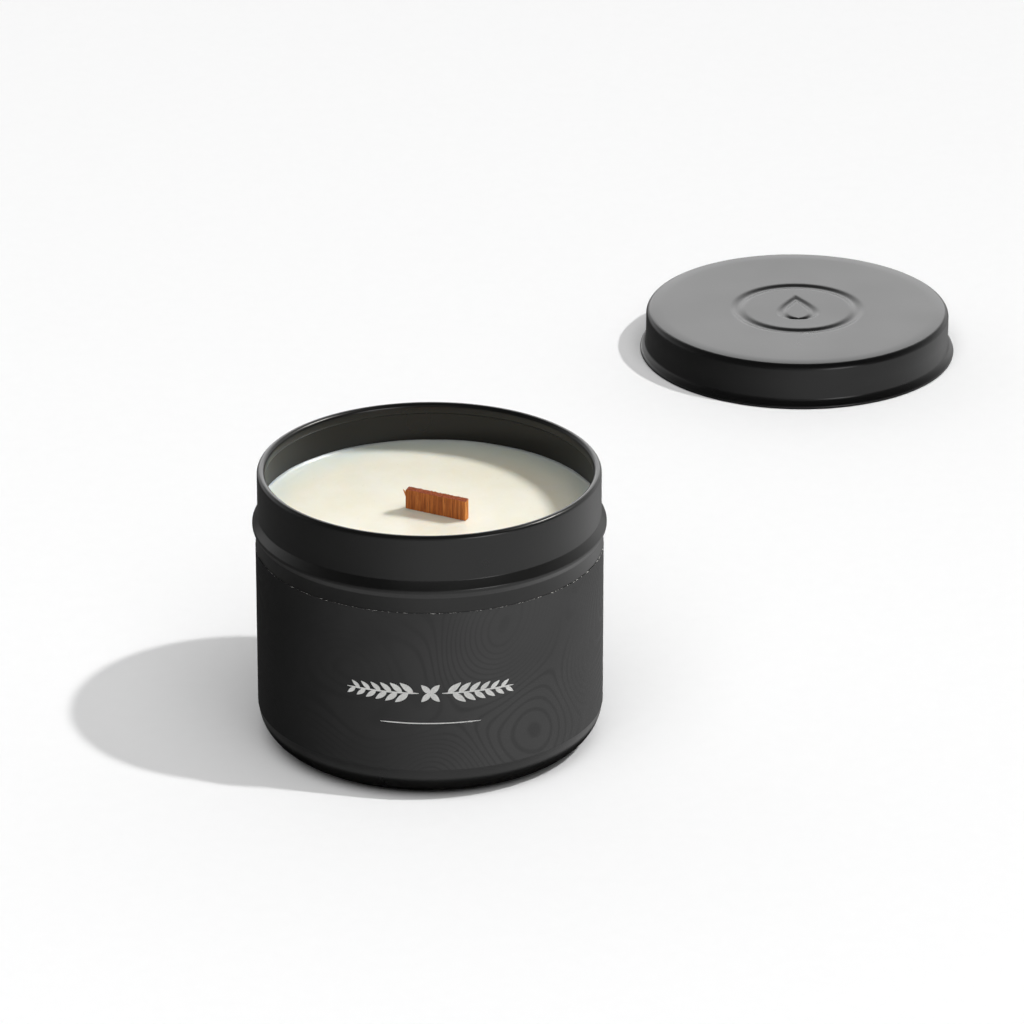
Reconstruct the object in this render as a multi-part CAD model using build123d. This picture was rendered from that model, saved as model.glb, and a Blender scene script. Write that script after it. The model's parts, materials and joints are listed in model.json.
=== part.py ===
from build123d import *
import os
from math import cos, radians, sin, tan

# A slip-lid candle tin, open, with its lid lying beside it on the table.
# The origin is at the centre of the foot ring, on the table. +Z is up, along the tin's axis.
# +X is to the right of the printed front, and the front faces -Y.

# ---- driving dimensions, millimetres ----
wall = 0.25  # tinplate of the tin and of its lid
tin_height = 64.5
body_r = 39.2  # straight side, outside
bead_r = 40.0  # crest of the bead under the neck
neck_r = 38.8  # neck that the lid slips over, outside

# base of the tin
corner_r = 7.9  # round between side and base, outside
panel_rise = 0.8  # the base panel stands this far above the foot ring
foot_inner_r = 28.8  # foot ring; a 45 degree slope leads up to the panel

# bead and neck
bead_bottom_z = 49.5
bead_crest_z = 51.8
bead_top_z = 53.9
curl_r = 0.9  # top of the rim, rolled inwards
curl_leg_end_z = 62.5
curl_tuck = 0.3  # the rolled edge tucks back towards the wall
curl_end_z = 61.9

# lid
lid_clearance = 0.15  # radial, between skirt and neck
lid_height = 11.5
lid_edge_r = 1.6
lid_place = (95.7, 225.8)  # where the lid lies on the table
flare_top_z = 2.6  # where the skirt begins to flare
flare_end_z = 0.95
roll_r = 0.5  # rolled edge at the foot of the skirt
roll_centre_r = 40.2
mark_inner_r = 14.2  # debossed ring on the lid, with 45 degree sides
mark_outer_r = 17.0
mark_depth = 0.35

# filling and wick
wax_z = 54.2
wick_width = 14.6
wick_thickness = 2.0
wick_top_z = 58.7
wick_place = (1.7, -1.9)
wick_turn = -22.5  # degrees about Z, from +X

# clip that holds the wick upright under the wax
sticker_r = 10.0
sticker_thickness = 0.8
clip_r = 11.0
clip_sheet = 0.3
jaw_width = 12.0
jaw_height = 8.0
jaw_lip = 0.9

# labels
label_thickness = 0.12
label_bottom_z = 7.9
label_top_z = 46.4
label_overlap = 8.0  # width of the seam at the back
base_label_r = 25.0
base_label_thickness = 0.1

# ---- derived dimensions ----
floor_z = panel_rise + wall  # inside of the base
sticker_top_z = floor_z + sticker_thickness
clip_top_z = sticker_top_z + clip_sheet
lid_inner_r = neck_r + lid_clearance
lid_r = lid_inner_r + wall
rim_arc_z = tin_height - curl_r
half_slope = tan(radians(22.5))  # shift of a 45 degree bend for each unit of inset

os.makedirs("parts", exist_ok=True)


def lathe(section):
    """Turn a closed section drawn as (radius, height) about the tin's axis."""
    return revolve(Plane.XZ * section, Axis.Z)


def sheet(path):
    """Section of sheet metal between the outer and the inner run of a path."""
    outer, inner = path(0), path(wall)
    start = Line(outer[0] @ 0, inner[0] @ 0)
    end = Line(outer[-1] @ 1, inner[-1] @ 1)
    return make_face(outer + inner + [start, end])


def save(shape, node):
    shape.label = node
    export_step(shape, f"parts/{node}.step")


def at_wick(shape):
    """Place a shape drawn about the origin where the wick stands."""
    return Pos(*wick_place, 0) * Rot(0, 0, wick_turn) * shape


def side_path(inset, top_z):
    """The tin from the middle of its base up to a height on its neck, this far in from its outside."""
    bend = inset * half_slope
    base = Polyline(
        (0, panel_rise + inset),
        (foot_inner_r - panel_rise + bend, panel_rise + inset),
        (foot_inner_r + bend, inset),
        (body_r - corner_r, inset),
    )
    corner = TangentArc(base @ 1, (body_r - inset, corner_r), tangent=(1, 0))
    side = Line(corner @ 1, (body_r - inset, bead_bottom_z))
    crest = (bead_r - inset, bead_crest_z)
    bead_under = TangentArc(crest, side @ 1, tangent=(0, -1))
    bead_over = TangentArc(crest, (neck_r - inset, bead_top_z), tangent=(0, 1))
    neck = Line(bead_over @ 1, (neck_r - inset, top_z))
    return base.edges() + [corner, side, bead_under, bead_over, neck]


def rim_path(inset):
    """The rim, rolled inwards over the neck and back down its inside."""
    leg_r = neck_r - 2 * curl_r + inset
    over = TangentArc((neck_r - inset, rim_arc_z), (leg_r, rim_arc_z), tangent=(0, 1))
    leg = Line(over @ 1, (leg_r, curl_leg_end_z))
    tuck = TangentArc(leg @ 1, (leg_r + curl_tuck, curl_end_z), tangent=(0, -1))
    return [over, leg, tuck]


def tin_body():
    """Seamless drawn tin: recessed base, round corner, bead, neck and rolled rim in one sheet."""
    return lathe(sheet(lambda inset: side_path(inset, rim_arc_z) + rim_path(inset)))


def lid_path(inset):
    """The lid from the middle of its plate to its flared foot, this far in from its outside."""
    bend = inset * half_slope
    top = lid_height - inset
    plate = Polyline(
        (0, top),
        (mark_inner_r - bend, top),
        (mark_inner_r + mark_depth - bend, top - mark_depth),
        (mark_outer_r - mark_depth + bend, top - mark_depth),
        (mark_outer_r + bend, top),
        (lid_r - lid_edge_r, top),
    )
    edge = TangentArc(plate @ 1, (lid_r - inset, lid_height - lid_edge_r), tangent=(1, 0))
    skirt = Line(edge @ 1, (lid_r - inset, flare_top_z))
    flare = TangentArc(skirt @ 1, (roll_centre_r, flare_end_z - inset), tangent=(0, -1))
    return plate.edges() + [edge, skirt, flare]


def lid():
    """Drawn lid: plate with a debossed ring, straight skirt, flared foot and rolled edge."""
    roll = lathe(Pos(roll_centre_r, roll_r) * Circle(roll_r))
    return Pos(*lid_place, 0) * (lathe(sheet(lid_path)) + roll)


def wick_sticker():
    """Round foam pad that glues the clip to the bottom of the tin."""
    pad = extrude(Circle(sticker_r), sticker_thickness)
    return at_wick(Pos(0, 0, floor_z) * pad)


def clip_jaw():
    """One upright of the clip, a sheet against the wick's face with a lip bent away from it."""
    face = wick_thickness / 2
    back = face + clip_sheet
    bend_z = jaw_height - jaw_lip
    profile = Polygon(
        (face, 0),
        (face, bend_z),
        (face + jaw_lip, jaw_height),
        (back + jaw_lip, jaw_height),
        (back, bend_z),
        (back, 0),
        align=None,
    )
    return Pos(0, 0, clip_top_z) * extrude(Plane.YZ * profile, jaw_width / 2, both=True)


def wick_clip():
    """Pressed metal clip: a round base and two jaws that grip the wick."""
    base = Pos(0, 0, sticker_top_z) * extrude(Circle(clip_r), clip_sheet)
    jaw = clip_jaw()
    return at_wick(base + jaw + mirror(jaw, about=Plane.XZ))


def wooden_wick():
    """Flat strip of wood that stands on the clip's base and shows above the wax."""
    height = wick_top_z - clip_top_z
    strip = extrude(Rectangle(wick_width, wick_thickness), height)
    return at_wick(Pos(0, 0, clip_top_z) * strip)


def wax_fill():
    """Poured wax: it fills the tin up to the fill line, round what stands in it."""
    surface = Polyline((neck_r - wall, wax_z), (0, wax_z), (0, floor_z))
    poured = lathe(make_face(side_path(wall, wax_z) + surface.edges()))
    return poured - wick_sticker() - wick_clip() - wooden_wick()


def band(inner_r, thickness, bottom_z, top_z):
    """A thin upright ring."""
    ring = Circle(inner_r + thickness) - Circle(inner_r)
    return Pos(0, 0, bottom_z) * extrude(ring, top_z - bottom_z)


def body_label():
    """Label wrapped once round the tin, its end lapped over its start at the back."""
    wrap = band(body_r, label_thickness, label_bottom_z, label_top_z)
    second_layer = band(body_r + label_thickness, label_thickness, label_bottom_z, label_top_z)
    half_turn = radians(90) - label_overlap / body_r / 2
    reach = 2 * body_r
    wedge = Polygon(
        (0, 0),
        (reach * cos(half_turn), reach * sin(half_turn)),
        (-reach * cos(half_turn), reach * sin(half_turn)),
        align=None,
    )
    return wrap + (second_layer & extrude(wedge, tin_height))


def base_label():
    """Blank round sticker in the recess under the base."""
    disc = extrude(Circle(base_label_r), base_label_thickness)
    return Pos(0, 0, panel_rise - base_label_thickness) * disc


for make in (tin_body, lid, wax_fill, wooden_wick, wick_clip, wick_sticker, body_label, base_label):
    save(make(), make.__name__)
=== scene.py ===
import json
import math

import bmesh
import bpy
import numpy as np
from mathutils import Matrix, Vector, noise


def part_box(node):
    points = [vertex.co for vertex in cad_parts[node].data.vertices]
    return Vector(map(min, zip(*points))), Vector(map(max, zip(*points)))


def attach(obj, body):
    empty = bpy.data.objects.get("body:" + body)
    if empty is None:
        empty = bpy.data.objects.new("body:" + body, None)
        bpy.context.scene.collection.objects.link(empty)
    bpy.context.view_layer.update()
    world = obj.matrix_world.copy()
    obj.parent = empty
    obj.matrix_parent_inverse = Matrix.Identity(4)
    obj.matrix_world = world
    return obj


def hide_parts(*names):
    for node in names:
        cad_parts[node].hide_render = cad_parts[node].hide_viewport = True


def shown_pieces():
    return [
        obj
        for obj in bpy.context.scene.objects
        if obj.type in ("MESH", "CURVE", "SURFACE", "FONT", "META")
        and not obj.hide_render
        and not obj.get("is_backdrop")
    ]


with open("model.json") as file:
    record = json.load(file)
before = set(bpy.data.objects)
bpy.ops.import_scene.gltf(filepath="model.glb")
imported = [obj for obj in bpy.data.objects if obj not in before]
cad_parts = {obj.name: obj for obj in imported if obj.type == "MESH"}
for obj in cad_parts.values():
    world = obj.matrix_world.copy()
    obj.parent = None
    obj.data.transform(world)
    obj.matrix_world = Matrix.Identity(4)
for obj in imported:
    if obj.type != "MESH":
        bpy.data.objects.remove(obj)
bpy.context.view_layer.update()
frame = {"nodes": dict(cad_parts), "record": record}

MM = 0.001
SEGMENTS = 192  # round the tin and the lid

# sizes of the CAD model that its boxes and mounts don't give, mm
WALL = 0.25  # sheet metal
LABEL_T = 0.12  # label paper
PANEL_RISE = 0.8  # the base panel stands this far above the foot ring
FOOT_INNER_R = 28.8
CORNER_R = 7.9  # round between the tin's base and its side
BEAD_CREST_Z = 51.8
BEAD_TOP_Z = 53.9
CURL_LEG_Z = 62.5  # foot of the straight leg inside the rolled rim
LID_EDGE_R = 1.6
FLARE_TOP_Z = 2.6  # where the lid's skirt begins to flare
ROLL_R = 0.5  # rolled edge at the foot of the lid
WICK_W, WICK_T = 14.6, 2.0
WICK_TURN = math.radians(-22.5)

# sizes of what only this model has, mm
FOOT_GAP = 0.02  # keeps the foot off the floor
BEAD_FOOT_Z, BEAD_RISE = 49.75, 1.85  # lower flank of the bead
CREST_R = 0.6  # round of the bead's crest
CURL_TUCK_R = 0.75
FLARE_OUT, FLARE_R = 1.5, 1.45
RING_R, RING_W = 15.5, 4.0  # ring pressed into the lid
DROP_W = 3.2  # groove that draws the drop inside it
MARK_DEPTH = 0.42
MARKED_R = 18.5  # the mark needs a fine mesh out to here
PLATE_R = 36.0
DISH = 0.12  # the plate of a drawn lid is very slightly dished
WAX_GAP = 0.01  # between the wax and the metal
ACROSS, THICK = 86, 12  # points along the wick's wide and narrow sides
WICK_BEVEL = 0.08
GLUE = 0.004  # under each layer of the label
SPRIG_Z, RULE_Z = 26.9, 19.55  # heights of the printed marks

# ---- places read from the CAD model, in millimetres ----


def box_mm(node):
    low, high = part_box(node)
    return np.array(low) / MM, np.array(high) / MM


tin_high = box_mm("tin_body")[1]
lid_low, lid_high = box_mm("lid")
wax_high = box_mm("wax_fill")[1]
wick_low, wick_high = box_mm("wooden_wick")
label_low, label_high = box_mm("body_label")

MOUNTS = {m["name"]: m for m in frame["record"]["mounts"]}
BEAD_R = tin_high[0]
TIN_H = tin_high[2]
NECK_R = MOUNTS["neck"]["dims"]["r_mm"]
NECK_TOP_Z = MOUNTS["neck"]["pos_m"][2] / MM + MOUNTS["neck"]["dims"]["length_mm"] / 2
CURL_R = TIN_H - NECK_TOP_Z  # the rim is rolled over from the top of the straight neck
BODY_R = label_high[0] - LABEL_T
LID_X, LID_Y = (lid_low[:2] + lid_high[:2]) / 2
LID_H = lid_high[2]
LID_FOOT_R = (lid_high[0] - lid_low[0]) / 2
WAX_Z = wax_high[2]
WICK_X, WICK_Y = (wick_low[:2] + wick_high[:2]) / 2
WICK_FOOT_Z, WICK_TOP_Z = wick_low[2], wick_high[2]
LAP = 8.0 / BODY_R  # angle of the label's overlap at the back


# ---- meshes ----


def add_mesh(name, points_mm, faces, material, body, sharp=35):
    mesh = bpy.data.meshes.new(name)
    mesh.from_pydata((np.asarray(points_mm, float) * MM).tolist(), [], faces)
    mesh.validate()
    work = bmesh.new()
    work.from_mesh(mesh)
    bmesh.ops.recalc_face_normals(work, faces=work.faces)
    work.to_mesh(mesh)
    work.free()
    mesh.shade_smooth()
    mesh.set_sharp_from_angle(angle=math.radians(sharp))
    mesh.materials.append(material)
    piece = bpy.data.objects.new(name, mesh)
    bpy.context.scene.collection.objects.link(piece)
    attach(piece, body)
    return piece


def smooth_step(value):
    t = np.clip(value, 0, 1)
    return t * t * (3 - 2 * t)


def arc(cx, cz, r, start, end, step=6):
    """Points on an arc, angles in degrees."""
    n = max(2, int(abs(end - start) / step))
    angles = np.radians(np.linspace(start, end, n + 1))
    return [(cx + r * math.cos(a), cz + r * math.sin(a)) for a in angles]


def resample(path, step):
    path = np.array(path, float)
    keep = np.r_[True, np.linalg.norm(np.diff(path, axis=0), axis=1) > 1e-6]
    path = path[keep]
    along = np.r_[0, np.cumsum(np.linalg.norm(np.diff(path, axis=0), axis=1))]
    n = int(along[-1] / step) + 1
    s = np.linspace(0, along[-1], n + 1)
    return np.c_[np.interp(s, along, path[:, 0]), np.interp(s, along, path[:, 1])]


def soften(path, blur, step=0.04):
    """The path with its corners rounded, as a bend in sheet metal is. The ends stay."""
    dense = resample(path, step)
    reach = int(3 * blur / step)
    weight = np.exp(-0.5 * (np.arange(-reach, reach + 1) * step / blur) ** 2)
    weight /= weight.sum()
    out = np.empty_like(dense)
    for k in range(2):
        lead = 2 * dense[0, k] - dense[reach:0:-1, k]
        tail = 2 * dense[-1, k] - dense[-2 : -reach - 2 : -1, k]
        out[:, k] = np.convolve(np.r_[lead, dense[:, k], tail], weight, "valid")
    return out


def inset(path, distance):
    """The path moved to the left of its direction."""
    run = np.gradient(path, axis=0)
    run /= np.linalg.norm(run, axis=1)[:, None]
    return path + distance * np.c_[-run[:, 1], run[:, 0]]


def pick(path, turn=5.0, longest=3.0, limits=()):
    """Indices of the points that a smooth mesh needs: a new one after each turn or length."""
    run = np.diff(path, axis=0)
    angle = np.unwrap(np.arctan2(run[:, 1], run[:, 0]))
    keep, last_angle, last = [0], angle[0], 0
    for i in range(1, len(path) - 1):
        far = np.linalg.norm(path[i] - path[last])
        most = longest
        for low, high, length in limits:
            if low <= path[i, 0] <= high:
                most = min(most, length)
        if abs(angle[i] - last_angle) > math.radians(turn) or far > most:
            keep.append(i)
            last_angle, last = angle[i], i
    return keep + [len(path) - 1]


def lathe(profile):
    """Turns a profile about Z. Points on the axis become one vertex each."""
    points, rows = [], []
    angles = np.arange(SEGMENTS) * 2 * math.pi / SEGMENTS
    for r, z in profile:
        if r < 1e-6:
            rows.append([len(points)] * SEGMENTS)
            points.append((0, 0, z))
        else:
            start = len(points)
            rows.append(list(range(start, start + SEGMENTS)))
            points += [(r * math.cos(a), r * math.sin(a), z) for a in angles]
    faces = []
    for low, high in zip(rows, rows[1:]):
        for i in range(SEGMENTS):
            j = (i + 1) % SEGMENTS
            quad = [low[i], low[j], high[j], high[i]]
            face = [v for k, v in enumerate(quad) if v not in quad[:k]]
            if len(face) > 2:
                faces.append(face)
    return np.array(points, float), faces


def sheet_profile(path, thickness=WALL, turn=5.0, longest=3.0, limits=()):
    """Closed outline of a sheet whose outer side is the path: out along it and back inside."""
    keep = pick(path, turn, longest, limits)
    inner = inset(path, thickness)
    if path[0, 0] < 1e-6:
        inner[0, 0] = 0
    return np.r_[path[keep], inner[keep][::-1]]


# ---- materials ----


def new_material(name):
    material = bpy.data.materials.new(name)
    material.use_nodes = True
    tree = material.node_tree
    tree.nodes.clear()
    out = tree.nodes.new("ShaderNodeOutputMaterial")
    shader = tree.nodes.new("ShaderNodeBsdfPrincipled")
    tree.links.new(shader.outputs[0], out.inputs[0])
    return material, tree, shader


def node(tree, kind, inputs=None, **settings):
    made = tree.nodes.new(kind)
    for key, value in settings.items():
        setattr(made, key, value)
    for key, value in (inputs or {}).items():
        if isinstance(value, bpy.types.NodeSocket):
            tree.links.new(value, made.inputs[key])
        else:
            made.inputs[key].default_value = value
    return made


def position(tree, scale=(1, 1, 1)):
    """Object coordinates in millimetres, times a scale."""
    place = node(tree, "ShaderNodeTexCoord").outputs["Object"]
    return node(
        tree, "ShaderNodeMapping", {"Vector": place, "Scale": [1000 * s for s in scale]}
    ).outputs[0]


def noise_of(tree, place, scale, detail=4.0, rough=0.5, distortion=0.0):
    return node(
        tree,
        "ShaderNodeTexNoise",
        {
            "Vector": place,
            "Scale": scale,
            "Detail": detail,
            "Roughness": rough,
            "Distortion": distortion,
        },
    ).outputs["Fac"]


def ramp(tree, value, *stops):
    """A colour ramp: stops are (position, colour)."""
    made = node(tree, "ShaderNodeValToRGB", {"Fac": value})
    elements = made.color_ramp.elements
    while len(elements) < len(stops):
        elements.new(0.5)
    for element, (at, colour) in zip(elements, stops):
        element.position = at
        element.color = (*colour, 1)
    return made.outputs["Color"]


def remap(tree, value, low, high, to_low, to_high):
    return node(
        tree,
        "ShaderNodeMapRange",
        {
            "Value": value,
            "From Min": low,
            "From Max": high,
            "To Min": to_low,
            "To Max": to_high,
        },
    ).outputs[0]


def math_of(tree, operation, *values):
    made = node(tree, "ShaderNodeMath", operation=operation)
    for i, value in enumerate(values):
        if isinstance(value, bpy.types.NodeSocket):
            tree.links.new(value, made.inputs[i])
        else:
            made.inputs[i].default_value = value
    return made.outputs[0]


def mix(tree, factor, a, b):
    made = node(tree, "ShaderNodeMix", data_type="RGBA")
    for key, value in ((0, factor), (6, a), (7, b)):
        if isinstance(value, bpy.types.NodeSocket):
            tree.links.new(value, made.inputs[key])
        elif key == 0:
            made.inputs[0].default_value = value
        else:
            made.inputs[key].default_value = (*value, 1)
    return made.outputs[2]


def bump(tree, height, strength, distance_mm, after=None):
    inputs = {"Height": height, "Strength": strength, "Distance": distance_mm * MM}
    if after is not None:
        inputs["Normal"] = after
    return node(tree, "ShaderNodeBump", inputs).outputs[0]


def grey(v):
    return (v, v, v)


def black_paint(name, colour, level):
    """Satin black enamel with a faint orange peel and slightly cloudy gloss."""
    material, tree, shader = new_material(name)
    place = position(tree)
    peel = noise_of(tree, place, 0.7, 1)
    cloud = noise_of(tree, place, 0.06, 1)
    tint = [tuple(c * k for c in colour) for k in (0.8, 1.2)]
    base = ramp(tree, cloud, (0.15, tint[0]), (0.85, tint[1]))
    tree.links.new(base, shader.inputs["Base Color"])
    tree.links.new(
        remap(tree, cloud, 0.1, 0.9, 0.26, 0.32), shader.inputs["Roughness"]
    )
    tree.links.new(bump(tree, peel, 0.04, 0.05), shader.inputs["Normal"])
    shader.inputs["Specular IOR Level"].default_value = level
    return material


def label_stock():
    """Matte black printed paper with fine contour lines in a slightly glossier ink."""
    material, tree, shader = new_material("label_stock")
    place = position(tree)
    warp = node(tree, "ShaderNodeTexNoise", {"Vector": place, "Scale": 0.03, "Detail": 0.0})
    bent = node(
        tree,
        "ShaderNodeVectorMath",
        {0: warp.outputs["Color"], 1: (16, 16, 16), 2: place},
        operation="MULTIPLY_ADD",
    ).outputs[0]
    hills = node(
        tree,
        "ShaderNodeTexVoronoi",
        {"Vector": bent, "Scale": 0.038, "Smoothness": 1.0},
        feature="SMOOTH_F1",
    )
    steps = math_of(tree, "FRACT", math_of(tree, "MULTIPLY", hills.outputs["Distance"], 27.0))
    away = math_of(tree, "ABSOLUTE", math_of(tree, "SUBTRACT", steps, 0.5))
    line = remap(tree, away, 0.08, 0.22, 1.0, 0.0)
    patch = remap(tree, noise_of(tree, place, 0.022, 1), 0.40, 0.56, 0.25, 1.0)
    line = math_of(tree, "MULTIPLY", line, patch)
    fibre = noise_of(tree, place, 3.0, 5, 0.6)
    cloud = noise_of(tree, place, 0.05, 2)
    ground = ramp(tree, cloud, (0.3, grey(0.0105)), (0.7, grey(0.0125)))
    tree.links.new(
        mix(tree, math_of(tree, "MULTIPLY", line, 0.48), ground, grey(0.0068)),
        shader.inputs["Base Color"],
    )
    rough = math_of(
        tree,
        "SUBTRACT",
        remap(tree, fibre, 0.3, 0.7, 0.50, 0.62),
        math_of(tree, "MULTIPLY", line, 0.10),
    )
    tree.links.new(rough, shader.inputs["Roughness"])
    tree.links.new(bump(tree, fibre, 0.12, 0.04), shader.inputs["Normal"])
    shader.inputs["Specular IOR Level"].default_value = 0.08
    return material


def label_core_and_glints():
    """The label's cut edge: paper core with the black ink broken off it here and there. Its
    pale patches are also painted highlight, the dotted glints of light along the edge.
    """
    material, tree, shader = new_material("label_core_and_glints")
    place = position(tree, (1, 1, 0.2))
    torn_ink_and_glints = noise_of(tree, place, 1.6, 5, 0.7)
    # pale patches: paper core, and painted highlight standing in for glints of light on the
    # edge
    tree.links.new(
        ramp(tree, torn_ink_and_glints, (0.53, grey(0.012)), (0.61, (0.62, 0.61, 0.58))),
        shader.inputs["Base Color"],
    )
    shader.inputs["Roughness"].default_value = 0.8
    tree.links.new(bump(tree, torn_ink_and_glints, 0.4, 0.05), shader.inputs["Normal"])
    return material


def print_ink():
    """Off-white screen ink, a little uneven."""
    material, tree, shader = new_material("print_ink")
    place = position(tree)
    grain = noise_of(tree, place, 3.5, 4, 0.6)
    tree.links.new(
        ramp(tree, grain, (0.3, (0.66, 0.66, 0.65)), (0.65, (0.86, 0.86, 0.85))),
        shader.inputs["Base Color"],
    )
    tree.links.new(remap(tree, grain, 0.3, 0.7, 0.45, 0.6), shader.inputs["Roughness"])
    tree.links.new(bump(tree, grain, 0.15, 0.02), shader.inputs["Normal"])
    return material


def soy_wax():
    """Ivory soy wax: soft light under the surface, faint frosting and a waxy gloss."""
    material, tree, shader = new_material("soy_wax")
    place = position(tree)
    cloud = noise_of(tree, place, 0.10, 5, 0.55)
    frost = noise_of(tree, place, 0.9, 6, 0.65)
    base = ramp(tree, cloud, (0.30, (0.86, 0.83, 0.70)), (0.70, (0.91, 0.885, 0.79)))
    pale = remap(tree, frost, 0.52, 0.75, 0.0, 0.30)
    frosted = mix(tree, pale, base, (0.95, 0.94, 0.88))
    # near the wall the wax is thin over black metal, and looks cooler
    axes = node(tree, "ShaderNodeSeparateXYZ", {"Vector": place})
    across = math_of(tree, "POWER", axes.outputs["X"], 2.0)
    along = math_of(tree, "POWER", axes.outputs["Y"], 2.0)
    radius = math_of(tree, "SQRT", math_of(tree, "ADD", across, along))
    rim = remap(tree, radius, 30.5, 38.5, 0.0, 0.75)
    tree.links.new(
        mix(tree, rim, frosted, (0.70, 0.79, 0.76)), shader.inputs["Base Color"]
    )
    tree.links.new(remap(tree, frost, 0.3, 0.7, 0.27, 0.40), shader.inputs["Roughness"])
    shader.inputs["Subsurface Weight"].default_value = 0.85
    shader.inputs["Subsurface Radius"].default_value = (1.0, 0.88, 0.70)
    shader.inputs["Subsurface Scale"].default_value = 0.0018
    shader.inputs["Specular IOR Level"].default_value = 0.45
    ripple = noise_of(tree, place, 0.35, 3)
    first = bump(tree, ripple, 0.15, 0.25)
    tree.links.new(bump(tree, frost, 0.10, 0.06, first), shader.inputs["Normal"])
    return material


def cherry_wood(name, tint):
    """Sawn cherry veneer with upright grain and darker streaks, its colours times a tint."""
    material, tree, shader = new_material(name)
    # grain runs up the wick, so it is stretched along Z
    streak = noise_of(tree, position(tree, (1, 1, 0.06)), 1.9, 6, 0.6, 0.5)
    pore = noise_of(tree, position(tree, (1, 1, 0.04)), 5.5, 4, 0.7)
    stops = (
        (0.30, (0.17, 0.042, 0.009)),
        (0.45, (0.31, 0.084, 0.017)),
        (0.58, (0.40, 0.122, 0.026)),
        (0.75, (0.55, 0.205, 0.052)),
    )
    tinted = [(at, [min(0.85, c * t) for c, t in zip(rgb, tint)]) for at, rgb in stops]
    base = ramp(tree, streak, *tinted)
    dark = remap(tree, pore, 0.54, 0.68, 0.0, 0.7)
    tree.links.new(mix(tree, dark, base, (0.10, 0.032, 0.010)), shader.inputs["Base Color"])
    tree.links.new(remap(tree, streak, 0.3, 0.7, 0.72, 0.55), shader.inputs["Roughness"])
    shader.inputs["Specular IOR Level"].default_value = 0.35
    first = bump(tree, pore, 0.45, 0.12)
    tree.links.new(bump(tree, streak, 0.35, 0.2, first), shader.inputs["Normal"])
    return material


def pressed_steel():
    """Bright stamped steel with fine scratches."""
    material, tree, shader = new_material("pressed_steel")
    scratch = noise_of(tree, position(tree, (0.15, 1, 1)), 4.0, 4)
    tree.links.new(
        ramp(tree, scratch, (0.3, grey(0.42)), (0.7, grey(0.62))),
        shader.inputs["Base Color"],
    )
    shader.inputs["Metallic"].default_value = 1.0
    tree.links.new(remap(tree, scratch, 0.3, 0.7, 0.24, 0.42), shader.inputs["Roughness"])
    tree.links.new(bump(tree, scratch, 0.15, 0.03), shader.inputs["Normal"])
    return material


def foam():
    """White foam pad with open cells."""
    material, tree, shader = new_material("foam_pad")
    place = position(tree)
    cells = node(tree, "ShaderNodeTexVoronoi", {"Vector": place, "Scale": 2.4})
    far = cells.outputs["Distance"]
    tree.links.new(
        ramp(tree, far, (0.0, grey(0.52)), (0.55, grey(0.82))), shader.inputs["Base Color"]
    )
    shader.inputs["Roughness"].default_value = 0.85
    tree.links.new(bump(tree, far, 0.6, 0.2), shader.inputs["Normal"])
    return material


def white_sticker():
    """Coated white paper under the base, blank."""
    material, tree, shader = new_material("white_sticker")
    fibre = noise_of(tree, position(tree), 1.2, 6, 0.6)
    tree.links.new(
        ramp(tree, fibre, (0.3, (0.74, 0.73, 0.70)), (0.7, (0.82, 0.81, 0.79))),
        shader.inputs["Base Color"],
    )
    tree.links.new(remap(tree, fibre, 0.3, 0.7, 0.45, 0.6), shader.inputs["Roughness"])
    tree.links.new(bump(tree, fibre, 0.12, 0.04), shader.inputs["Normal"])
    return material


tin_paint = black_paint("tin_enamel", (0.0062, 0.0062, 0.0060), 0.33)
lid_paint = black_paint("lid_enamel", (0.0068, 0.0068, 0.0068), 0.30)
paper = label_stock()
core_and_glints = label_core_and_glints()
ink = print_ink()
wax = soy_wax()
wood = cherry_wood("cherry_wood", (1.6, 1.55, 1.4))
# a lighter copy of the same wood: painted highlight for the light falling on the wick's narrow
# ends and its splinter
lit_edge_wood = cherry_wood("cherry_lit_edge", (2.0, 2.4, 1.9))
top_wood = cherry_wood("cherry_top", (0.75, 0.48, 0.34))


# ---- tin ----


def tin_path():
    """Outer side of the drawn tin, from the middle of the base to the end of its rolled rim."""
    # the bead's lower flank leaves the side gently and is steep again near the crest
    rise = np.linspace(0, 1, 40)
    slope = np.clip(rise / 0.2, 0, 1) * np.clip((1 - rise) / 0.35, 0, 1)
    flank = BODY_R + (BEAD_R - BODY_R) * np.cumsum(slope) / slope.sum()
    under = list(zip(flank, BEAD_FOOT_Z + BEAD_RISE * rise))
    over = arc(BEAD_R - CREST_R, BEAD_CREST_Z, CREST_R, 0, 30)
    path = [(0, PANEL_RISE), (FOOT_INNER_R - PANEL_RISE, PANEL_RISE)]
    path += [(FOOT_INNER_R, FOOT_GAP)]
    path += arc(BODY_R - CORNER_R, CORNER_R + FOOT_GAP, CORNER_R, -90, 0)
    path += under + over + [(NECK_R, BEAD_TOP_Z)]
    leg_r = NECK_R - 2 * CURL_R
    path += arc(NECK_R - CURL_R, TIN_H - CURL_R, CURL_R, 0, 180, 10)
    path += [(leg_r, CURL_LEG_Z)]
    path += arc(leg_r + CURL_TUCK_R, CURL_LEG_Z, CURL_TUCK_R, 180, 233, 10)
    return soften(path, 0.10)


def build_tin():
    points, faces = lathe(sheet_profile(tin_path()))
    piece = add_mesh("drawn_tin", points, faces, tin_paint, "tin")
    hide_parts("tin_body")
    return piece


# ---- lid ----


def drop_distance(x, y):
    """Distance outside a plain drop, its tip away from the front, mm. Negative inside it."""
    t = np.clip((y + 7.4) / 16.4, 0, 1)
    half = 5.6 * np.sin(math.pi * t**0.62) ** 0.8 * (1 - t) ** 0.18
    inside = (y > -7.4) & (y < 9.0)
    side = np.abs(x) - half
    return np.where(inside, side, np.maximum(np.abs(y - 0.8) - 8.2, side))


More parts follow.
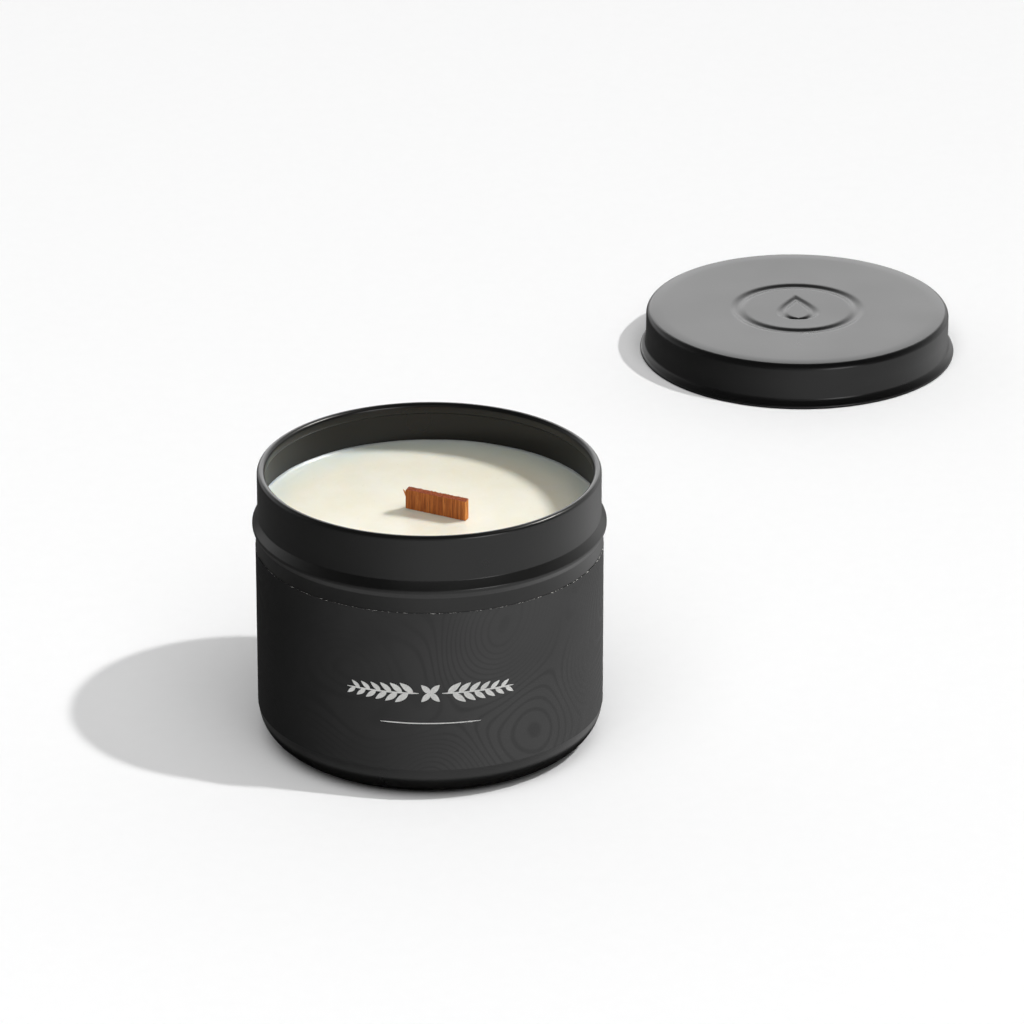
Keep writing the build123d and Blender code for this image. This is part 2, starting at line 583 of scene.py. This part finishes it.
def groove(distance, width):
    """A round-bottomed groove's depth, from 0 to 1, at a distance from its middle."""
    t = np.clip(distance / width, -0.5, 0.5)
    return 0.5 + 0.5 * np.cos(2 * math.pi * t)


def mark_drop(x, y):
    """How far the plate is pressed down at a point, mm: a ring and the outline of a drop."""
    ring = groove(np.hypot(x, y) - RING_R, RING_W)
    drop = groove(drop_distance(x, y) + 1.2, DROP_W)
    return MARK_DEPTH * np.maximum(ring, drop)


def lid_path():
    """Outer side of the lid, from the middle of its plate to the end of its rolled foot."""
    r = LID_FOOT_R - FLARE_OUT
    path = [(0, LID_H)]
    path += arc(r - LID_EDGE_R, LID_H - LID_EDGE_R, LID_EDGE_R, 90, 0)
    path += [(r, FLARE_TOP_Z)]
    path += arc(r + FLARE_R, FLARE_TOP_Z, FLARE_R, 180, 236)
    path += arc(LID_FOOT_R - ROLL_R, ROLL_R + FOOT_GAP, ROLL_R, 85, -180, 12)
    return soften(path, 0.09)


def build_lid():
    limits = [(0, MARKED_R, 0.36), (MARKED_R, PLATE_R, 2.0)]
    points, faces = lathe(sheet_profile(lid_path(), -WALL, 6, 4, limits))
    plate = points[:, 2] > LID_H - 1.0
    flat = plate & (np.hypot(points[:, 0], points[:, 1]) < 19)
    points[flat, 2] -= mark_drop(points[flat, 0], points[flat, 1])
    r = np.hypot(points[:, 0], points[:, 1])
    points[plate, 2] -= DISH * np.clip(1 - (r[plate] / PLATE_R) ** 2, 0, 1)
    points += (LID_X, LID_Y, 0)
    piece = add_mesh("drawn_lid", points, faces, lid_paint, "lid")
    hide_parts("lid")
    return piece


# ---- wax and wick ----


def to_wick(x, y):
    """Coordinates along and across the wick."""
    dx, dy = x - WICK_X, y - WICK_Y
    c, s = math.cos(WICK_TURN), math.sin(WICK_TURN)
    return dx * c + dy * s, -dx * s + dy * c


def from_wick(u, v):
    c, s = math.cos(WICK_TURN), math.sin(WICK_TURN)
    return WICK_X + u * c - v * s, WICK_Y + u * s + v * c


def wax_height(x, y, wall_r):
    """Top of the wax: it climbs the wall and the wick and sinks a little in between."""
    r = math.hypot(x, y)
    u, v = to_wick(x, y)
    gap = math.hypot(max(abs(u) - WICK_W / 2, 0), max(abs(v) - WICK_T / 2, 0))
    z = WAX_Z - 0.60 + 0.25 * (r / wall_r) ** 4
    z += 0.95 * math.exp(-(wall_r - r) / 0.8) + 0.15 * math.exp(-(wall_r - r) / 2.5)
    end = WICK_W / 2
    lean = 1 - 0.09 * max(-end, min(end, u))  # the wax climbs higher at the left end
    z += 0.36 * lean * math.exp(-gap / 0.7) + 0.26 * lean * math.exp(-((gap / 3.2) ** 2))
    z += 0.10 * noise.noise(Vector((x / 9.0, y / 9.0, 0.3)))
    z += 0.035 * noise.noise(Vector((x / 2.6, y / 2.6, 4.1)))
    return z


def build_wax():
    wall_r = NECK_R - WALL - WAX_GAP
    # the surface's rings are closest round the wick and at the wall
    round_wick = np.arange(0.45, 12, 0.45)
    between = np.linspace(12, wall_r - 3, 22)
    at_wall = wall_r - 3 + 3 * (1 - (1 - np.linspace(0.08, 1, 14)) ** 1.8)
    radii = np.r_[0, round_wick, between, at_wall]
    metal = tin_path()
    on_neck = np.argmax(metal[:, 1] > WAX_Z + 0.3)
    outline = inset(metal[:on_neck], WALL + WAX_GAP)[pick(metal[:on_neck], 7, 4)]
    outline[0, 0] = 0
    profile = [(r, z) for r, z in outline] + [(r, WAX_Z) for r in radii[::-1]]
    points, faces = lathe(profile)
    first_top = sum(1 if r < 1e-6 else SEGMENTS for r, z in outline)
    for p in points[first_top:]:
        p[2] = wax_height(p[0], p[1], wall_r)
    piece = add_mesh("poured_wax", points, faces, wax, "tin", 60)
    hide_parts("wax_fill")


def wick_outline():
    """Points round the wick's section, dense on its faces, its corners bevelled."""
    w, t, c = WICK_W / 2, WICK_T / 2, WICK_BEVEL
    across = np.linspace(-w + c, w - c, ACROSS)
    thick = np.linspace(-t + c, t - c, THICK)
    ring = [(u, -t) for u in across] + [(w, v) for v in thick]
    ring += [(u, t) for u in across[::-1]] + [(-w, v) for v in thick[::-1]]
    return ring


def wick_top(u, v):
    """Height of the cut top: splintered along the grain and a little lower to the left."""
    fine = noise.noise(Vector((u * 2.6, v * 0.7, 1.7)))
    coarse = noise.noise(Vector((u * 0.55, v * 0.25, 7.2)))
    z = WICK_TOP_Z + 0.10 - 0.045 * u + 0.13 * fine + 0.07 * coarse
    z -= 0.10 * smooth_step((abs(u) - 7.0) / 0.3) * (1 + noise.noise(Vector((u, v, 2))))
    return min(z, WICK_TOP_Z + 0.5)


def wick_groove(u, z):
    """Depth of the sawn grain at a place on a wide face, mm."""
    wander = 0.25 * noise.noise(Vector((u * 0.3, z * 0.06, 3.1)))
    fine = noise.noise(Vector(((u + wander) * 5.0, z * 0.10, 9.4)))
    broad = noise.noise(Vector(((u + wander) * 1.3, z * 0.05, 5.2)))
    return 0.030 + 0.030 * fine + 0.035 * broad


def build_wick():
    ring = wick_outline()
    under_wax = [WICK_FOOT_Z, 10, 20, 30, 40, 48, 52]
    # the last ring follows the cut top, and so has no height of its own
    heights = under_wax + list(np.arange(53, 58.3, 0.25)) + [None]
    points, faces = [], []
    half_t, half_w = WICK_T / 2, WICK_W / 2
    for z in heights:
        for u, v in ring:
            top = wick_top(u, v)
            zz = top if z is None else min(z, top - 0.02)
            g = wick_groove(u, zz)
            uu, vv = u, v
            if abs(v) == half_t:
                vv = v * (1 - g / half_t)
            if abs(u) == half_w:
                uu = u * (1 - wick_groove(v + 20, zz) / half_w)
            points.append((*from_wick(uu, vv), zz))
    n = len(ring)
    for k in range(len(heights) - 1):
        for i in range(n):
            j = (i + 1) % n
            faces.append([k * n + i, k * n + j, (k + 1) * n + j, (k + 1) * n + i])
    # the top: a grid between the two long edges
    last = (len(heights) - 1) * n
    rows = np.linspace(-1, 1, THICK)
    front = [last + i for i in range(ACROSS)]
    right = [last + ACROSS + i for i in range(THICK)]
    back = [last + ACROSS + THICK + i for i in range(ACROSS)][::-1]
    left = [last + 2 * ACROSS + THICK + i for i in range(THICK)][::-1]
    grid = {}
    for a in range(ACROSS):
        u = ring[a][0]
        for b in range(THICK):
            v = rows[b] * (half_t - WICK_BEVEL)
            grid[a, b] = len(points)
            z = wick_top(u, v) + 0.10 * noise.noise(Vector((u * 5, v * 5, 0.5)))
            points.append((*from_wick(u, v), z))
    end, side = ACROSS - 1, THICK - 1
    for a in range(end):
        for b in range(side):
            faces.append([grid[a, b], grid[a + 1, b], grid[a + 1, b + 1], grid[a, b + 1]])
        faces.append([front[a], front[a + 1], grid[a + 1, 0], grid[a, 0]])
        faces.append([grid[a, side], grid[a + 1, side], back[a + 1], back[a]])
    for b in range(side):
        faces.append([grid[end, b], right[b], right[b + 1], grid[end, b + 1]])
        faces.append([left[b], grid[0, b], grid[0, b + 1], left[b + 1]])
    faces.append([front[end], right[0], grid[end, 0]])
    faces.append([grid[end, side], right[side], back[end]])
    faces.append([back[0], left[side], grid[0, side]])
    faces.append([left[0], front[0], grid[0, 0]])
    faces.append(list(range(n))[::-1])
    piece = add_mesh("cherry_wick", points, faces, wood, "tin", 40)
    # the narrow ends take the lighter wood, painted light where the key light strikes them
    piece.data.materials.append(lit_edge_wood)
    piece.data.materials.append(top_wood)
    narrow = [i for i, (u, v) in enumerate(ring) if abs(u) == half_w][:-1]
    for k in range(len(heights) - 1):
        for i in narrow:
            if abs(ring[i + 1][0]) == half_w:
                piece.data.polygons[k * n + i].material_index = 1
    for k in range(last, len(faces) - 1):
        piece.data.polygons[k].material_index = 2
    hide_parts("wooden_wick")


def build_splinter():
    """A sliver that has come away from the top left corner and leans out."""
    foot = np.array([*from_wick(-WICK_W / 2 + 0.15, -WICK_T / 2 + 0.35), 57.5])
    tip = np.array([*from_wick(-WICK_W / 2 - 0.50, -WICK_T / 2 + 0.15), 59.1])
    points, faces = [], []
    n, steps = 8, 8  # points round it, and steps from foot to tip
    c, d = 0.92, -0.38  # its flat side is turned with the wick
    for k in range(steps + 1):
        t = k / steps
        centre = foot + (tip - foot) * t + np.array([0, 0, 0.05 * math.sin(math.pi * t)])
        width = 0.36 * (1 - t) ** 0.6 + 0.03
        for i in range(n):
            a = 2 * math.pi * i / n
            wobble = 1 + 0.2 * math.sin(3 * a + 5 * t)
            u, v = width * wobble * math.cos(a), 0.5 * width * wobble * math.sin(a)
            points.append(centre + np.array([u * c, u * d + v, 0]))
    for k in range(steps):
        for i in range(n):
            j = (i + 1) % n
            faces.append([k * n + i, k * n + j, (k + 1) * n + j, (k + 1) * n + i])
    faces += [list(range(n))[::-1], [steps * n + i for i in range(n)]]
    # the splinter takes the lighter wood too: painted highlight where it catches the light
    add_mesh("wick_splinter", points, faces, lit_edge_wood, "tin", 50)


# ---- label ----


def edge_wave(a, seed):
    """A cut edge is never dead straight: its small rise and fall, mm."""
    x, y = 6 * math.cos(a), 6 * math.sin(a)
    return 0.035 * noise.noise(Vector((x, y, seed))) + 0.02 * noise.noise(
        Vector((4 * x, 4 * y, seed))
    )


def build_label():
    """The wrapped label: its end lies over its start at the back, and its top edge lifts."""
    turns = 360
    start = math.pi / 2 - LAP / 2
    total = 2 * math.pi + LAP
    z0, z1 = label_low[2], label_high[2]
    heights = [z0 + 0.05, z0 + 0.35, z0 + 1.5, 14, 22, 30, 38, z1 - 1.5, z1 - 0.35, z1 - 0.05]
    points, faces, rows = [], [], []
    for k in range(turns + 1):
        a = start + total * k / turns
        over = smooth_step((a - start - 2 * math.pi + 0.06) / 0.05)
        base = BODY_R + GLUE + (LABEL_T + GLUE) * float(over)
        lift = 0.03 + 0.05 * noise.noise(Vector((9 * math.cos(a), 9 * math.sin(a), 3)))
        row = []
        for side in (LABEL_T, 0):
            order = heights if side else heights[::-1]
            for i, z in enumerate(order):
                near_top = max(0.0, 1 - (z1 - z) / 0.9)
                zz = z + edge_wave(a, 1.0) * max(0.0, 1 - (z1 - z) / 2.0)
                zz += edge_wave(a, 8.0) * max(0.0, 1 - (z - z0) / 2.0)
                r = base + side + max(0.0, lift) * near_top
                row.append(len(points))
                points.append((r * math.cos(a), r * math.sin(a), zz))
        rows.append(row)
    n = len(rows[0])
    for k in range(turns):
        for i in range(n):
            j = (i + 1) % n
            faces.append([rows[k][i], rows[k + 1][i], rows[k + 1][j], rows[k][j]])
    faces.append(rows[0])
    faces.append(rows[-1][::-1])
    piece = add_mesh("wrap_label", points, faces, paper, "tin", 40)
    # the top cut edge: paper core with painted glints of light
    piece.data.materials.append(core_and_glints)
    edge = len(heights) - 1
    for k in range(turns):
        piece.data.polygons[k * n + edge].material_index = 1
    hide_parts("body_label")
    return piece


def inked(strips, name):
    """Ink on the label: strips of cross-lines given in (s, z) mm, s along the surface."""
    points, faces = [], []
    for strip in strips:
        rows = []
        for line in strip:
            row = []
            for lift in (0.018, -0.01):
                order = line if lift > 0 else line[::-1]
                for s, z in order:
                    r = BODY_R + LABEL_T + GLUE + lift
                    a = -math.pi / 2 + s / r
                    row.append(len(points))
                    points.append((r * math.cos(a), r * math.sin(a), z))
            rows.append(row)
        n = len(rows[0])
        for k in range(len(rows) - 1):
            for i in range(n):
                j = (i + 1) % n
                faces.append([rows[k][i], rows[k + 1][i], rows[k + 1][j], rows[k][j]])
        faces += [rows[0], rows[-1][::-1]]
    add_mesh(name, points, faces, ink, "tin", 30)


def leaf(s, z, length, width, angle):
    """One pointed leaf that starts at (s, z) and points along the angle, as a strip."""
    c, d = math.cos(angle), math.sin(angle)
    lines = []
    for k in range(15):
        t = 0.01 + 0.98 * k / 14
        half = width / 2 * math.sin(math.pi * t**0.8) ** 0.85 + 0.02
        lines.append(
            [
                (s + length * t * c - h * d, z + length * t * d + h * c)
                for h in (-half, 0, half)
            ]
        )
    return lines


def bar(s0, s1, z, half, n=40):
    """A thin straight line that tapers at both ends."""
    lines = []
    for k in range(n + 1):
        t = k / n
        h = half * min(1, 0.35 + 8 * min(t, 1 - t))
        s = s0 + (s1 - s0) * t
        lines.append([(s, z - h), (s, z), (s, z + h)])
    return lines


def build_print():
    """A sprig on each side of four small leaves, above a plain rule."""
    strips = []
    tilt = math.radians(38)
    for side in (-1, 1):
        strips.append(bar(side * 2.6, side * 19.2, SPRIG_Z, 0.17))
        for k in range(6):
            s = side * (3.9 + 2.45 * k)
            for up in (-1, 1):
                angle = up * tilt if side > 0 else math.pi - up * tilt
                size = 1 - 0.07 * k
                start = s + side * (0.0 if up > 0 else 1.1)
                z = SPRIG_Z + up * 0.1
                strips.append(leaf(start, z, 3.7 * size, 1.35 * size, angle))
    for k in range(4):
        angle = math.radians(45 + 90 * k)
        strips.append(leaf(0, SPRIG_Z, 2.9, 1.3, angle))
    inked(strips, "printed_sprig")
    inked([bar(-11.3, 11.3, RULE_Z, 0.13, 60)], "printed_rule")


tin = build_tin()
lid = build_lid()
build_wax()
build_wick()
build_splinter()
label = build_label()
build_print()

for name, material in (
    ("wick_clip", pressed_steel()),
    ("wick_sticker", foam()),
    ("base_label", white_sticker()),
):
    data = frame["nodes"][name].data
    data.materials.clear()
    data.materials.append(material)


# ---- floor, light and camera ----


def build_floor():
    material, tree, shader = new_material("floor_paper")
    grain = noise_of(tree, position(tree), 0.25, 5, 0.6)
    tree.links.new(
        ramp(tree, grain, (0.3, grey(0.93)), (0.7, grey(0.94))),
        shader.inputs["Base Color"],
    )
    shader.inputs["Roughness"].default_value = 0.9
    shader.inputs["Specular IOR Level"].default_value = 0.1
    size = 6.0
    mesh = bpy.data.meshes.new("floor")
    corners = [(-size, -size, 0), (size, -size, 0), (size, size, 0), (-size, size, 0)]
    mesh.from_pydata(corners, [], [(0, 1, 2, 3)])
    mesh.materials.append(material)
    floor = bpy.data.objects.new("floor", mesh)
    bpy.context.scene.collection.objects.link(floor)
    floor.visible_glossy = False  # the world stands in for it in the black paint
    floor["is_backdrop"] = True
    return floor


def contact_shade(name, x, y, radius):
    """A dark disc on the table that only gloss sees, as the shade close round a foot."""
    material, tree, shader = new_material(name)
    grain = noise_of(tree, position(tree), 0.25, 3)
    tree.links.new(
        ramp(tree, grain, (0.3, grey(0.010)), (0.7, grey(0.014))), shader.inputs["Base Color"]
    )
    shader.inputs["Specular IOR Level"].default_value = 0.0
    turns = np.arange(64) * 2 * math.pi / 64
    rim = [(x + radius * math.cos(a), y + radius * math.sin(a), 0.004) for a in turns]
    mesh = bpy.data.meshes.new(name)
    mesh.from_pydata((np.array(rim) * MM).tolist(), [], [list(range(64))])
    mesh.materials.append(material)
    disc = bpy.data.objects.new(name, mesh)
    bpy.context.scene.collection.objects.link(disc)
    disc.visible_camera = False
    disc.visible_diffuse = False
    disc.visible_shadow = False
    disc.visible_transmission = False
    disc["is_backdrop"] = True


def light_for(light, *objects):
    """The light reaches only these objects."""
    group = bpy.data.collections.new(light.name + "_lit")
    for o in objects:
        group.objects.link(o)
    light.light_linking.receiver_collection = group


def direction(azimuth, elevation):
    a, e = math.radians(azimuth), math.radians(elevation)
    return Vector((math.cos(a) * math.cos(e), math.sin(a) * math.cos(e), math.sin(e)))


def sun(name, azimuth, elevation, strength, angle, colour=(1, 1, 1)):
    data = bpy.data.lights.new(name, "SUN")
    data.energy = strength
    data.angle = math.radians(angle)
    data.color = colour
    lamp = bpy.data.objects.new(name, data)
    lamp.rotation_euler = (-direction(azimuth, elevation)).to_track_quat("-Z", "Y").to_euler()
    bpy.context.scene.collection.objects.link(lamp)
    return lamp


def panel(name, azimuth, elevation, far, size, power, colour=(1, 1, 1)):
    data = bpy.data.lights.new(name, "AREA")
    data.shape = "RECTANGLE"
    data.size, data.size_y = size
    data.energy = power
    data.color = colour
    lamp = bpy.data.objects.new(name, data)
    to = direction(azimuth, elevation)
    lamp.location = to * far
    lamp.visible_camera = False
    lamp.rotation_euler = (-to).to_track_quat("-Z", "Y").to_euler()
    bpy.context.scene.collection.objects.link(lamp)
    return lamp


floor = build_floor()
contact_shade("shade_under_tin", 0, 0, BEAD_R + 1.3)
contact_shade("shade_under_lid", LID_X, LID_Y, LID_FOOT_R + 0.3)
pale = [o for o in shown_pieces() if o not in (tin, lid, label)]

# the photo's shadows disagree, and its black parts were lit apart from the rest, so each
# kind of surface has its own lamps: azimuth, elevation, then strength or distance and size
light_for(sun("key_on_floor", -14, 54.5, 1.5, 2.2), floor)
light_for(sun("key_on_candle", 16, 45.5, 2.85, 11, (1, 0.99, 0.975)), *pale, label)
light_for(sun("key_on_tin", 16, 45.5, 2.4, 5, (1, 0.985, 0.95)), tin)
light_for(panel("sky_on_floor", -90, 62, 4.0, (4.2, 4.2), 113), floor)
light_for(panel("sky_on_candle", -90, 72, 4.0, (4.2, 4.2), 62, (1, 0.98, 0.90)), *pale)
light_for(panel("front_fill", -50, 15, 1.6, (0.9, 0.6), 80), label)
light_for(panel("back_fill", 85, 18, 1.6, (0.9, 0.6), 60), label)
light_for(panel("front_kiss", -55, 10, 1.6, (0.6, 0.4), 6), tin, lid)
light_for(panel("front_card", -90, 22, 2.0, (1.5, 0.6), 2), tin, lid)
light_for(panel("back_card", 88, 22, 2.0, (1.5, 0.9), 9), tin, lid)


def build_world():
    world = bpy.data.worlds.new("studio")
    world.use_nodes = True
    tree = world.node_tree
    tree.nodes.clear()
    out = node(tree, "ShaderNodeOutputWorld")
    place = node(tree, "ShaderNodeTexCoord").outputs["Generated"]
    axes = node(tree, "ShaderNodeSeparateXYZ", {"Vector": place})
    back = remap(tree, axes.outputs["Y"], -0.25, 0.75, 0.0, 1.0)
    low = remap(tree, axes.outputs["Z"], 0.75, 0.25, 0.0, 1.0)
    glow = math_of(tree, "MULTIPLY", back, low)
    above = remap(tree, glow, 0.0, 1.0, 0.10, 1.2)
    # only gloss sees below the horizon: it stands in for the table, darker to the left
    behind = math_of(tree, "MULTIPLY", math_of(tree, "MAXIMUM", axes.outputs["Y"], 0.0), 0.9)
    aside = math_of(tree, "SUBTRACT", axes.outputs["X"], behind)
    far = remap(tree, axes.outputs["Y"], 0.35, 0.85, 1.0, 0.6)
    table = math_of(tree, "MULTIPLY", remap(tree, aside, -0.95, 0.0, 0.15, 1.15), far)
    horizon = remap(tree, axes.outputs["Z"], -0.10, 0.05, 0.0, 1.0)
    strength = math_of(
        tree,
        "ADD",
        math_of(tree, "MULTIPLY", above, horizon),
        math_of(tree, "MULTIPLY", table, math_of(tree, "SUBTRACT", 1.0, horizon)),
    )
    tree.links.new(
        node(
            tree, "ShaderNodeBackground", {"Color": (1, 1, 1, 1), "Strength": strength}
        ).outputs[0],
        out.inputs[0],
    )
    bpy.context.scene.world = world


build_world()

# the photo's camera, fitted to the outlines of the tin and the lid
camera_data = bpy.data.cameras.new("camera")
camera_data.sensor_width = 36
camera_data.lens = 232.8
camera_data.clip_end = 20
camera = bpy.data.objects.new("camera", camera_data)
camera.location = (0, -1.3665, 0.6545)
camera.rotation_euler = (math.radians(90 - 23.74), 0, math.radians(-0.78))
bpy.context.scene.collection.objects.link(camera)
bpy.context.scene.camera = camera
bpy.context.scene.view_settings.view_transform = "Standard"
